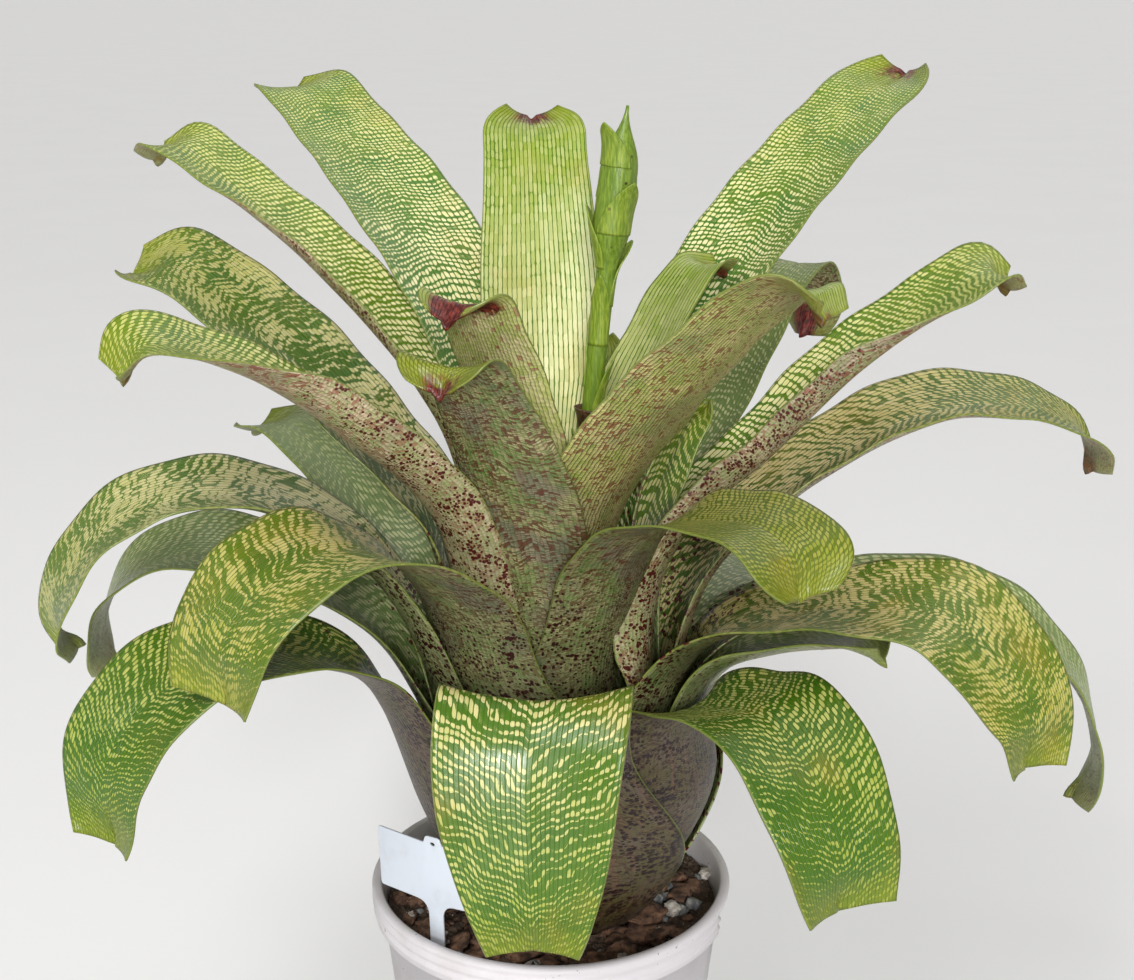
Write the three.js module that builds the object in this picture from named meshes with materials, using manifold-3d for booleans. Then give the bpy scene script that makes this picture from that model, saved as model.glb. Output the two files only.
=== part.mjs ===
// A potted bromeliad with netted leaves: a white nursery pot, bark soil, a plant label, a short stem,
// thirty leaves in nested rings round the stem, and a young flower spike in the middle.
// Millimetres, +Z up. The origin is the centre of the pot's foot, and -Y is the front.
import * as THREE from 'three';
import { mergeVertices } from 'three/addons/utils/BufferGeometryUtils.js';
import Module from 'manifold-3d';

const wasm = await Module();
wasm.setup();

// Driving dimensions
const POT_HEIGHT = 172;
const RIM_RADIUS = 100;
const FOOT_RADIUS = 77;
const WALL = 2;
const SOIL_HEIGHT = 158;
const GAP = 0.3;
const LEAF_THICKNESS = 1;
const PLANT_OFFSET = 10;

const plant = new THREE.Group();

// Small helpers
const mix = (a, b, t) => a + (b - a) * t;
const radians = THREE.MathUtils.degToRad;
const smooth = (from, to, x) => THREE.MathUtils.smoothstep(x, from, to);

function material(color, roughness) {
  return new THREE.MeshStandardMaterial({ color, roughness, metalness: 0 });
}

function addPiece(name, geometry, finish) {
  const mesh = new THREE.Mesh(geometry, finish);
  mesh.name = name;
  plant.add(mesh);
}

function toSolid(geometry) {
  const plain = geometry.clone();
  for (const name of Object.keys(plain.attributes)) {
    if (name !== 'position') plain.deleteAttribute(name);
  }
  const merged = mergeVertices(plain, 1e-4);
  return new wasm.Manifold(new wasm.Mesh({
    numProp: 3,
    vertProperties: Float32Array.from(merged.attributes.position.array),
    triVerts: Uint32Array.from(merged.index.array),
  }));
}

function toGeometry(solid) {
  const mesh = solid.getMesh();
  const geometry = new THREE.BufferGeometry();
  geometry.setAttribute('position', new THREE.BufferAttribute(mesh.vertProperties, 3));
  geometry.setIndex(new THREE.BufferAttribute(mesh.triVerts, 1));
  return geometry;
}

// A closed sheet from two grids of points that face each other, each row running across the sheet.
// Both faces are split along the same diagonals.
function sheetGeometry(upper, lower) {
  const rows = upper.length;
  const columns = upper[0].length;
  const points = [...upper.flat(), ...lower.flat()];
  const triangles = [];
  const top = (i, j) => i * columns + j;
  const under = (i, j) => rows * columns + i * columns + j;
  const quad = (a, b, c, d) => triangles.push(a, c, b, a, d, c);
  for (let i = 0; i < rows - 1; i++) {
    for (let j = 0; j < columns - 1; j++) {
      quad(top(i, j), top(i, j + 1), top(i + 1, j + 1), top(i + 1, j));
      triangles.push(under(i, j), under(i, j + 1), under(i + 1, j + 1));
      triangles.push(under(i, j), under(i + 1, j + 1), under(i + 1, j));
    }
    quad(top(i, 0), top(i + 1, 0), under(i + 1, 0), under(i, 0));
    quad(top(i + 1, columns - 1), top(i, columns - 1), under(i, columns - 1), under(i + 1, columns - 1));
  }
  for (let j = 0; j < columns - 1; j++) {
    quad(top(0, j + 1), top(0, j), under(0, j), under(0, j + 1));
    quad(top(rows - 1, j), top(rows - 1, j + 1), under(rows - 1, j + 1), under(rows - 1, j));
  }
  const geometry = new THREE.BufferGeometry();
  geometry.setAttribute('position', new THREE.Float32BufferAttribute(points.flatMap((p) => p.toArray()), 3));
  geometry.setIndex(triangles);
  return geometry;
}

// Pot
// A thin tapered wall with a rolled rim whose skirt has two ridges, and a flat floor with drain holes.
// Past the right-hand side the skirt is moulded away and only the rim's lip runs on.
const SKIRT_HEIGHT = 17;
const LIP_WIDTH = 5.5;
const LIP_HEIGHT = 4;
const RIDGE = 1;
const NOTCH_FROM = radians(-22);
const NOTCH_TO = radians(38);
const POT_SIDES = 40;
const DRAIN_RADIUS = 5;
const DRAIN_CIRCLE = 52;
const DRAIN_COUNT = 6;

function potWallRadius(height) {
  return mix(FOOT_RADIUS, RIM_RADIUS - 4, height / POT_HEIGHT);
}

function latheGeometry(profile, sides) {
  const geometry = new THREE.LatheGeometry(profile.map(([r, z]) => new THREE.Vector2(r, z)), sides);
  return geometry.rotateX(Math.PI / 2);
}

function skirtCut() {
  const inner = potWallRadius(POT_HEIGHT - SKIRT_HEIGHT) + 1;
  const outer = RIM_RADIUS + SKIRT_HEIGHT;
  const shape = new THREE.Shape();
  shape.absarc(0, 0, outer, NOTCH_FROM, NOTCH_TO, false);
  shape.absarc(0, 0, inner, NOTCH_TO, NOTCH_FROM, true);
  const ring = new THREE.ExtrudeGeometry(shape, { depth: SKIRT_HEIGHT, bevelEnabled: false, curveSegments: 12 });
  return toSolid(ring.translate(0, 0, POT_HEIGHT - SKIRT_HEIGHT - LIP_HEIGHT));
}

function potGeometry() {
  const skirtBottom = POT_HEIGHT - SKIRT_HEIGHT;
  const profile = [
    [0, 0],
    [FOOT_RADIUS - 1, 0],
    [FOOT_RADIUS, 1.5],
    [potWallRadius(skirtBottom), skirtBottom],
    [RIM_RADIUS - 2 * RIDGE, skirtBottom - RIDGE],
    [RIM_RADIUS - RIDGE, skirtBottom + LIP_HEIGHT],
    [RIM_RADIUS, skirtBottom + 2 * LIP_HEIGHT],
    [RIM_RADIUS - RIDGE, skirtBottom + 3 * LIP_HEIGHT],
    [RIM_RADIUS, POT_HEIGHT - 2 * RIDGE],
    [RIM_RADIUS - 2 * RIDGE, POT_HEIGHT],
    [RIM_RADIUS - LIP_WIDTH, POT_HEIGHT],
    [potWallRadius(skirtBottom) - WALL, skirtBottom],
    [FOOT_RADIUS - WALL, WALL],
    [0, WALL],
  ];
  let solid = toSolid(latheGeometry(profile, POT_SIDES)).subtract(skirtCut());
  for (let i = 0; i < DRAIN_COUNT; i++) {
    const angle = radians(360 * (i + 0.5) / DRAIN_COUNT);
    const drain = new THREE.CylinderGeometry(DRAIN_RADIUS, DRAIN_RADIUS, 4 * WALL, 10).rotateX(Math.PI / 2);
    drain.translate(DRAIN_CIRCLE * Math.cos(angle), DRAIN_CIRCLE * Math.sin(angle), WALL / 2);
    solid = solid.subtract(toSolid(drain));
  }
  return toGeometry(solid);
}
addPiece('pot', potGeometry(), material('#d9d6d4', 0.5));

// Stem
// A short stout stem. Its foot stands in a plain hole in the soil, and its wide cone carries the leaf bases.
const STEM_RADIUS = 24;
const STEM_FOOT = 95;
const CROWN_RADIUS = 40;
const CROWN_HEIGHT = 151;
const CONE_TOP = 177;
const CONE_TOP_RADIUS = 7;

function stemGeometry() {
  return latheGeometry([
    [0, STEM_FOOT],
    [STEM_RADIUS - 6, STEM_FOOT],
    [STEM_RADIUS, STEM_FOOT + 12],
    [STEM_RADIUS, CROWN_HEIGHT - 16],
    [CROWN_RADIUS, CROWN_HEIGHT - 3],
    [CROWN_RADIUS, CROWN_HEIGHT],
    [CONE_TOP_RADIUS, CONE_TOP],
    [0, CONE_TOP],
  ], 24).translate(PLANT_OFFSET, 0, 0);
}
addPiece('stem', stemGeometry(), material('#6b5a3c', 0.9));

// Label
// A flat plastic tag in the shape of a T, with a small slotted tab at its top and a stem pushed into the soil.
// It stands inside the rim at the front left, turned a little to the left.
const LABEL_THICKNESS = 1.2;
const LABEL_DEPTH = 30;
const LABEL_HEIGHT = 66;
const HEAD_HALF = 36;
const HEAD_BOTTOM = 30;
const LABEL_STEM = 4.6;
const TAB_HALF = 6;
const TAB_RISE = 2;
const LABEL_TILT = radians(2);
const LABEL_TURN = radians(-33);
const LABEL_PLACE = new THREE.Vector3(-58.5, -62, SOIL_HEIGHT);

function placeLabel(geometry) {
  geometry.rotateZ(LABEL_TILT);
  geometry.rotateX(Math.PI / 2);
  geometry.rotateZ(LABEL_TURN);
  return geometry.translate(LABEL_PLACE.x, LABEL_PLACE.y, LABEL_PLACE.z);
}

function labelGeometry() {
  const shoulder = HEAD_BOTTOM - 7;
  const right = [
    [1, -LABEL_DEPTH],
    [LABEL_STEM, 2 * LABEL_STEM - LABEL_DEPTH],
    [LABEL_STEM, shoulder],
    [LABEL_STEM + 1.5, HEAD_BOTTOM - 3],
    [LABEL_STEM + 3.5, HEAD_BOTTOM - 1],
    [LABEL_STEM + 7, HEAD_BOTTOM],
    [HEAD_HALF, HEAD_BOTTOM + TAB_RISE],
    [HEAD_HALF, LABEL_HEIGHT],
    [TAB_HALF, LABEL_HEIGHT - TAB_RISE],
    [TAB_HALF - 2, LABEL_HEIGHT + TAB_RISE],
  ];
  const left = right.map(([x, y]) => [-x, y]).reverse();
  const outline = new THREE.Shape([...right, ...left].map(([x, y]) => new THREE.Vector2(x, y)));
  const slot = new THREE.Path();
  slot.absellipse(0, LABEL_HEIGHT - TAB_RISE, 1.6, 1, 0, 2 * Math.PI, true);
  outline.holes.push(slot);
  return placeLabel(new THREE.ExtrudeGeometry(outline, {
    depth: LABEL_THICKNESS,
    bevelEnabled: false,
    curveSegments: 4,
  }));
}

// Soil
// Bark mix that fills the pot, a little mounded and uneven, with chips, stones and pumice half sunk in it.
// The stem and the label stand in plain holes.
const SOIL_RINGS = 6;
const SOIL_SIDES = 32;
const CHIPS = 36;
const HOLE_RADIUS = CROWN_RADIUS + 6;
const HOLE_GAP = 0.5;

function randomSource(seed) {
  let state = seed;
  return () => {
    state = (state * 16807) % 2147483647;
    return state / 2147483647;
  };
}
const random = randomSource(7);

function soilSurface(x, y) {
  const uneven = 1.3 * Math.sin(x * 0.11 + 1) * Math.cos(y * 0.13) + 0.8 * Math.sin(x * 0.29 + y * 0.23);
  return SOIL_HEIGHT + uneven;
}

function soilWallRadius(height) {
  const top = POT_HEIGHT - SKIRT_HEIGHT;
  const wall = mix(FOOT_RADIUS, potWallRadius(top), (height - WALL) / (top - WALL)) - WALL;
  return Math.cos(Math.PI / POT_SIDES) * wall - 2 * GAP;
}

function soilBlockGeometry() {
  const levels = [WALL + GAP, SOIL_HEIGHT - 6];
  const rings = levels.map((z) => [soilWallRadius(z), () => z]);
  for (let i = SOIL_RINGS; i >= 1; i--) {
    const radius = soilWallRadius(SOIL_HEIGHT - 2) * i / SOIL_RINGS;
    rings.push([radius, soilSurface]);
  }
  const points = [];
  for (const [radius, heightAt] of rings) {
    for (let s = 0; s < SOIL_SIDES; s++) {
      const angle = 2 * Math.PI * s / SOIL_SIDES;
      const x = radius * Math.cos(angle);
      const y = radius * Math.sin(angle);
      points.push(x, y, heightAt(x, y));
    }
  }
  points.push(0, 0, levels[0], 0, 0, SOIL_HEIGHT);
  const bottom = rings.length * SOIL_SIDES;
  const top = bottom + 1;
  const triangles = [];
  for (let s = 0; s < SOIL_SIDES; s++) {
    const next = (s + 1) % SOIL_SIDES;
    triangles.push(bottom, next, s);
    for (let r = 0; r < rings.length - 1; r++) {
      const a = r * SOIL_SIDES;
      const b = a + SOIL_SIDES;
      triangles.push(a + s, a + next, b + next, a + s, b + next, b + s);
    }
    const last = (rings.length - 1) * SOIL_SIDES;
    triangles.push(last + s, last + next, top);
  }
  const geometry = new THREE.BufferGeometry();
  geometry.setAttribute('position', new THREE.Float32BufferAttribute(points, 3));
  geometry.setIndex(triangles);
  return geometry;
}

function chipGeometry(size, stretch) {
  const chip = new THREE.IcosahedronGeometry(size, 0);
  chip.scale(1, stretch, 0.6);
  chip.rotateZ(random() * Math.PI);
  chip.rotateX((random() - 0.5) * 0.6);
  return chip;
}

function soilGeometry() {
  let solid = toSolid(soilBlockGeometry());
  for (let i = 0; i < CHIPS; i++) {
    const angle = random() * 2 * Math.PI;
    const size = mix(3, 7, random() ** 2);
    const radius = mix(HOLE_RADIUS + 9, soilWallRadius(SOIL_HEIGHT) - size - 3, random());
    const x = radius * Math.cos(angle);
    const y = radius * Math.sin(angle);
    const chip = chipGeometry(size, mix(0.6, 1.5, random()));
    chip.translate(x, y, soilSurface(x, y) + 0.5);
    solid = solid.add(toSolid(chip));
  }
  const hole = latheGeometry([
    [0, STEM_FOOT - GAP],
    [STEM_RADIUS - 5, STEM_FOOT - GAP],
    [STEM_RADIUS + HOLE_GAP, STEM_FOOT + 11],
    [STEM_RADIUS + HOLE_GAP, CROWN_HEIGHT - 17],
    [CROWN_RADIUS + 2, CROWN_HEIGHT - 4],
    [HOLE_RADIUS, CROWN_HEIGHT],
    [HOLE_RADIUS + 20, CROWN_HEIGHT + 20],
    [0, CROWN_HEIGHT + 20],
  ], 24).translate(PLANT_OFFSET, 0, 0);
  const slot = new THREE.BoxGeometry(2 * (LABEL_STEM + GAP), 2 * (LABEL_DEPTH + GAP), LABEL_THICKNESS + 2 * GAP);
  slot.translate(0, 0, LABEL_THICKNESS / 2);
  return toGeometry(solid.subtract(toSolid(hole)).subtract(toSolid(placeLabel(slot))));
}
addPiece('soil', soilGeometry(), material('#4a3a30', 1));
addPiece('label', labelGeometry(), material('#e8edf2', 0.4));

// Leaves
// Each leaf is one long sheet. Its broad sheath hugs the stem and stands in a bowl of nested rings, and its
// channelled blade arches out. A leaf is given by where it points (azimuth, 0 is right and 90 is back), its
// width, the spine of its blade as points (out from the axis, up), and how far it cups, rolls, swings and tapers.
// The rings run from the innermost outwards, and the two leaves of a ring stand on opposite sides.
const LEAF_RINGS = [
  [
    { azimuth: 95, width: 68, cup: 0.9, blade: [[26, 400], [45, 460], [80, 534], [108, 574], [122, 584]] },
    { azimuth: 236, width: 60, cup: 2.2, blade: [[28, 400], [42, 450], [58, 488], [72, 508], [86, 506]] },
  ],
  [
    {
      azimuth: -57, width: 78, cup: 1.3, swing: 20, roll: -12,
      blade: [[38, 386], [64, 431], [98, 475], [131, 510], [149, 519], [162, 511]],
    },
    { azimuth: 42, width: 44, cup: 2, blade: [[32, 388], [52, 430], [76, 466], [94, 490], [112, 504], [130, 504]] },
  ],
  [
    { azimuth: 266, width: 64, cup: 2, swing: -26, blade: [[44, 380], [62, 430], [80, 468], [95, 482], [106, 474]] },
    {
      azimuth: 126, width: 72, roll: -8,
      blade: [[44, 410], [87, 483], [150, 530], [208, 565], [262, 592], [285, 590]],
    },
  ],
  [
    { azimuth: 74, width: 46, blade: [[42, 384], [66, 428], [90, 462]] },
    {
      azimuth: -52, width: 68, cup: 1.2, roll: 8,
      blade: [[60, 370], [88, 398], [126, 411], [160, 415], [182, 406], [190, 392]],
    },
  ],
  [
    {
      azimuth: 44, width: 72, roll: 8,
      blade: [[52, 388], [88, 442], [128, 486], [178, 529], [235, 571], [295, 605]],
    },
    {
      azimuth: 153, width: 64, cup: 1.3, roll: -8,
      blade: [[54, 406], [76, 446], [128, 496], [192, 542], [236, 568], [252, 562]],
    },
  ],
  [
    {
      azimuth: 203, width: 76, cup: 1.7, roll: -8,
      blade: [[62, 386], [111, 438], [160, 474], [206, 491], [220, 480]],
    },
    { azimuth: 28, width: 56, blade: [[56, 365], [74, 405], [90, 436]] },
  ],
  [
    {
      azimuth: 8, width: 74, cup: 1.5, roll: 9,
      blade: [[62, 352], [84, 384], [113, 408], [160, 454], [207, 491], [236, 509], [248, 502]],
    },
    {
      azimuth: 167, width: 82, roll: -16,
      blade: [[62, 368], [80, 396], [112, 432], [160, 478], [204, 508], [230, 509]],
    },
  ],
  [
    {
      azimuth: 50, width: 52, cup: 1.2,
      blade: [[80, 365], [134, 404], [182, 452], [212, 480], [236, 486], [250, 470], [250, 440]],
    },
    {
      azimuth: 230, width: 86, cup: 0.8, roll: -10, swing: -9,
      blade: [[71, 342], [97, 375], [133, 395], [168, 390], [195, 368], [206, 334]],
    },
  ],
  [
    {
      azimuth: 14, width: 74, cup: 1.3, roll: 14,
      blade: [[88, 346], [128, 382], [168, 407], [220, 426], [280, 422], [314, 404], [324, 388]],
    },
    {
      azimuth: 186, width: 78, cup: 0.9, roll: -12, swing: 7,
      blade: [[82, 336], [117, 379], [168, 402], [220, 393], [246, 366], [256, 338], [251, 326]],
    },
  ],
  [
    {
      azimuth: -25, width: 84, cup: 0.7, roll: 14,
      blade: [[88, 322], [131, 347], [171, 358], [210, 360], [235, 343], [256, 315], [258, 286]],
    },
    { azimuth: 150, width: 74, blade: [[86, 338], [110, 358], [138, 388], [168, 409], [198, 410]] },
  ],
  [
    {
      azimuth: -3, width: 72, roll: 10,
      blade: [[95, 318], [147, 338], [199, 344], [246, 328], [279, 292], [286, 250], [282, 224]],
    },
    { azimuth: 178, width: 82, roll: -8, blade: [[96, 320], [150, 352], [200, 358], [234, 338], [248, 294]] },
  ],
  [
    { azimuth: -20, width: 74, cup: 1.3, roll: -14, blade: [[98, 310], [127, 323], [158, 330], [178, 333]] },
    { azimuth: 138, width: 78, blade: [[98, 314], [135, 338], [190, 340], [228, 308]] },
  ],
  [
    {
      azimuth: -47, width: 80, cup: 0.8, roll: 8, swing: -7,
      blade: [[99, 303], [130, 317], [165, 323], [194, 310], [214, 284], [220, 250]],
    },
    { azimuth: 105, width: 78, blade: [[106, 310], [148, 322], [196, 312], [232, 268]] },
  ],
  [
    {
      azimuth: 207, width: 84, cup: 0.8, roll: -10,
      blade: [[108, 310], [136, 328], [168, 334], [204, 326], [240, 293], [253, 250]],
    },
    { azimuth: 38, width: 78, blade: [[108, 306], [146, 316], [186, 300], [212, 262]] },
  ],
  [
    {
      azimuth: 268, width: 92, cup: 0.6, taper: 0.72,
      blade: [[114, 317], [132, 334], [149, 321], [163, 272], [169, 222]],
    },
    { azimuth: 70, width: 78, blade: [[112, 302], [148, 306], [190, 288], [218, 244]] },
  ],
];

// Where the sheaths of the innermost and the outermost ring stand above their feet, (out, up).
const INNER_SHEATH = [[9.5, 190], [10, 210], [11, 240], [13, 290]];
const OUTER_SHEATH = [[55, 171], [73, 196], [89, 228], [103, 288]];
const INNER_FOOT = 9;
const OUTER_FOOT = 39;
const SHEATH_WRAP = 0.86;
const LEAF_ROWS = 14;
const LEAF_COLUMNS = 6;

function coneHeight(radius) {
  return mix(CONE_TOP, CROWN_HEIGHT, (radius - CONE_TOP_RADIUS) / (CROWN_RADIUS - CONE_TOP_RADIUS));
}

function leafSpine(leaf, share) {
  const foot = mix(INNER_FOOT, OUTER_FOOT, share);
  const sheath = INNER_SHEATH.map(([out, up], i) => [
    mix(out, OUTER_SHEATH[i][0], share),
    mix(up, OUTER_SHEATH[i][1], share),
  ]);
  const points = [[foot, coneHeight(foot) + GAP], ...sheath, ...leaf.blade].map(([out, up]) => new THREE.Vector3(out, 0, up));
  return new THREE.CatmullRomCurve3(points, false, 'centripetal');
}

// The plant stands a little to the right in its pot, and straightens as it rises.
function crownShift(height) {
  return PLANT_OFFSET * (1 - smooth(225, 320, height));
}

// Even steps up the leaf, then three short ones that round its tip.
function leafStations() {
  const stations = [];
  for (let i = 0; i <= LEAF_ROWS - 3; i++) stations.push(0.93 * i / (LEAF_ROWS - 3));
  return [...stations, 0.965, 0.988, 1];
}

function leafHalfWidth(leaf, t, out) {
  const half = leaf.width / 2;
  const taper = mix(0.9, 1, smooth(0.35, 0.65, t)) * mix(1, leaf.taper ?? 0.84, smooth(0.7, 0.93, t));
  const tip = Math.max(0, (t - 0.94) / 0.06);
  const blade = half * taper * mix(1, 0.5, tip ** 2.4);
  return Math.min(mix(half * 1.5, blade, smooth(0.24, 0.46, t)), out * SHEATH_WRAP);
}

function leafRow(leaf, t, place, along) {
  const azimuth = radians(leaf.azimuth + (leaf.swing ?? 0) * smooth(0.3, 1, t));
  const outward = new THREE.Vector3(Math.cos(azimuth), Math.sin(azimuth), 0);
  const side = new THREE.Vector3(-Math.sin(azimuth), Math.cos(azimuth), 0);
  const face = new THREE.Vector3(-along.z * outward.x, -along.z * outward.y, along.x);
  const open = smooth(0.28, 0.5, t);
  const inward = outward.clone().multiplyScalar(open - 1).addScaledVector(face, open).normalize();
  const roll = radians(leaf.roll ?? 0) * smooth(0.4, 1, t);
  const across = side.clone().multiplyScalar(Math.cos(roll)).addScaledVector(face, Math.sin(roll));
  const lift = inward.clone().multiplyScalar(Math.cos(roll)).addScaledVector(side, -Math.sin(roll));
  const sheathBend = mix(1 / place.x, 1 / 62, open);
  const bladeBend = (leaf.cup ?? 1) / 100;
  const flattened = mix(sheathBend, bladeBend, smooth(0.42, 0.62, t)) * mix(1, 0.55, smooth(0.75, 1, t));
  const bend = Math.max(flattened, mix(1, 0.6, smooth(0.5, 0.9, t)) / place.x);
  const half = leafHalfWidth(leaf, t, place.x);
  const centre = outward.clone().multiplyScalar(place.x).setZ(place.z);
  centre.x += crownShift(place.z);
  const notch = 7 * smooth(0.93, 1, t);
  const row = [];
  for (let j = 0; j <= LEAF_COLUMNS; j++) {
    const v = 2 * j / LEAF_COLUMNS - 1;
    const turn = v * half * bend;
    const point = centre.clone().addScaledVector(across, Math.sin(turn) / bend);
    point.addScaledVector(lift, (1 - Math.cos(turn)) / bend - notch * (1 - v * v));
    row.push({ point, normal: lift.clone().multiplyScalar(Math.cos(turn)).addScaledVector(across, -Math.sin(turn)) });
  }
  return row;
}

function leafGeometry(leaf, share) {
  const spine = leafSpine(leaf, share);
  const upper = [];
  const lower = [];
  for (const t of leafStations()) {
    const row = leafRow(leaf, t, spine.getPointAt(t), spine.getTangentAt(t));
    upper.push(row.map(({ point }) => point));
    lower.push(row.map(({ point, normal }) => point.clone().addScaledVector(normal, -LEAF_THICKNESS)));
  }
  return sheetGeometry(upper, lower);
}

let leafNumber = 0;
LEAF_RINGS.forEach((ring, index) => {
  const share = index / (LEAF_RINGS.length - 1);
  for (const leaf of ring) {
    leafNumber += 1;
    const colour = mix(0x8f, 0x5f, share);
    const green = new THREE.Color(`rgb(${Math.round(colour)}, 150, 60)`);
    addPiece(`leaf_${String(leafNumber).padStart(2, '0')}`, leafGeometry(leaf, share), material(green, 0.4));
  }
});

// Flower spike
// A green scape that bends a little to the right as it rises, clasped by pointed bracts, with a young head
// at its top. It is shaped upright, as a height along the scape and a place round it, and then bent.
const SPIKE_PATH = new THREE.QuadraticBezierCurve3(
  new THREE.Vector3(PLANT_OFFSET, 0, CONE_TOP + 2 * GAP),
  new THREE.Vector3(PLANT_OFFSET, 0, 380),
  new THREE.Vector3(39, 5, 592),
);
const SPIKE_LENGTH = SPIKE_PATH.getLength();
const BRACT_COUNT = 9;

function spikeRadius(share) {
  const scape = mix(6.2, 5, smooth(0, 0.8, share));
  const head = 3.6 * smooth(0.8, 0.86, share) * (1 - smooth(0.9, 1, share));
  return (scape + head) * (1 - 0.85 * smooth(0.93, 1, share) ** 1.5);
}

function bendAlongSpike(geometry) {
  const position = geometry.attributes.position;
  for (let i = 0; i < position.count; i++) {
    const share = THREE.MathUtils.clamp(position.getZ(i) / SPIKE_LENGTH, 0, 1);
    const lean = new THREE.Quaternion().setFromUnitVectors(new THREE.Vector3(0, 0, 1), SPIKE_PATH.getTangentAt(share));
    const point = new THREE.Vector3(position.getX(i), position.getY(i), 0).applyQuaternion(lean);
    point.add(SPIKE_PATH.getPointAt(share));
    position.setXYZ(i, point.x, point.y, point.z);
  }
  return geometry;
}

function spikeGeometry() {
  const steps = 18;
  const profile = [[0, 0]];
  for (let i = 0; i <= steps; i++) profile.push([spikeRadius(i / steps), SPIKE_LENGTH * i / steps]);
  profile.push([0, SPIKE_LENGTH]);
  let solid = toSolid(bendAlongSpike(latheGeometry(profile, 8)));
  for (let k = 0; k < BRACT_COUNT; k++) solid = solid.add(toSolid(bendAlongSpike(bractGeometry(k))));
  return toGeometry(solid);
}

// One bract: a pointed scale that clasps half of the scape and stands off at its tip.
function bractGeometry(k) {
  const start = mix(0.5, 0.93, (k / (BRACT_COUNT - 1)) ** 0.7);
  const azimuth = radians(200 + 137.5 * k);
  const tall = mix(46, 20, k / (BRACT_COUNT - 1));
  const upper = [];
  const lower = [];
  for (let i = 0; i <= 3; i++) {
    const t = i / 3;
    const share = Math.min(start + t * tall / SPIKE_LENGTH, 1);
    const radius = spikeRadius(Math.min(share, 0.93)) + 0.5 + 4.5 * t ** 3;
    const spread = mix(1.5, 0.12, t ** 1.6);
    const row = [];
    const under = [];
    for (let j = 0; j <= 4; j++) {
      const angle = azimuth + spread * (j / 2 - 1);
      const outward = new THREE.Vector3(Math.cos(angle), Math.sin(angle), 0);
      row.push(outward.clone().multiplyScalar(radius - 1.2).setZ(share * SPIKE_LENGTH));
      under.push(outward.clone().multiplyScalar(radius).setZ(share * SPIKE_LENGTH));
    }
    upper.push(row);
    lower.push(under);
  }
  return sheetGeometry(upper, lower);
}
addPiece('flower_spike', spikeGeometry(), material('#5c9a2c', 0.45));

export default plant;
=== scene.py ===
import math
import random
import bmesh
import bpy
from mathutils import Matrix, Vector, noise


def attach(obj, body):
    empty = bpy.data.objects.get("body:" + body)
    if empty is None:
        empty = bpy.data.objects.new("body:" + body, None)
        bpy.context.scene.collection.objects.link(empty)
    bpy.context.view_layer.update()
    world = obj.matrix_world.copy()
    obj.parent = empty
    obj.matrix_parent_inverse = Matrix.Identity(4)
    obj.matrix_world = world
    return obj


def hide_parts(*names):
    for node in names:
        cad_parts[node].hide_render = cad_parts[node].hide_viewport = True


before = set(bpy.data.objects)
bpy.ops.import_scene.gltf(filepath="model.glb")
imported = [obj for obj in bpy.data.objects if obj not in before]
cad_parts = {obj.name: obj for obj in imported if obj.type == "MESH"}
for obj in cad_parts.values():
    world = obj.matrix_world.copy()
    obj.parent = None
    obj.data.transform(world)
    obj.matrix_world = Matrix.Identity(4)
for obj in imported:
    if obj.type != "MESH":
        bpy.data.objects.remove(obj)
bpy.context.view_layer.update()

# Pot
# A thin nursery pot of white injection-moulded plastic. Its rim is rolled outwards into a skirt with
# two fine ridges, which is moulded away past the right-hand side. Its flat floor has six drain holes.
MM = 0.001
POT_HEIGHT = 172
RIM_RADIUS = 100
WALL_TOP_RADIUS = 96
FOOT_RADIUS = 77
FLOOR_RADIUS = 72.6
WALL = 2
SKIRT_BOTTOM = 155
SKIRT_GAP = (-22, 38)
DRAIN_HOLES = 6
DRAIN_RADIUS = 5
DRAIN_CIRCLE = 52
POT_SIDES = 192


def mix(a, b, t):
    return a + (b - a) * t


def smooth(start, end, x):
    t = min(max((x - start) / (end - start), 0), 1)
    return t * t * (3 - 2 * t)


def finish_mesh(name, bm, materials, slot, *nodes):
    """Makes an object of the mesh, smooth, and has it ride on the root in place of the CAD nodes."""
    mesh = bpy.data.meshes.new(name)
    bm.to_mesh(mesh)
    bm.free()
    piece = bpy.data.objects.new(name, mesh)
    bpy.context.scene.collection.objects.link(piece)
    for material in materials:
        mesh.materials.append(material)
    mesh.shade_smooth()
    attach(piece, "root")
    if nodes:
        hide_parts(*nodes)
    return piece


def spin_profile(bm, profile, sides, centre=(0, 0, 0)):
    """Spins a profile of (radius, height) points round a vertical axis, with no gap left in it."""
    x, y, z = centre
    rim = [bm.verts.new(((x + radius) * MM, y * MM, (z + height) * MM)) for radius, height in profile]
    edges = [bm.edges.new(pair) for pair in zip(rim, rim[1:])]
    bmesh.ops.spin(bm, geom=rim + edges, cent=Vector(centre) * MM, axis=(0, 0, 1), angle=2 * math.pi,
                   steps=sides, use_merge=True)
    bmesh.ops.remove_doubles(bm, verts=bm.verts, dist=1e-6)
    bmesh.ops.recalc_face_normals(bm, faces=bm.faces)


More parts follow.
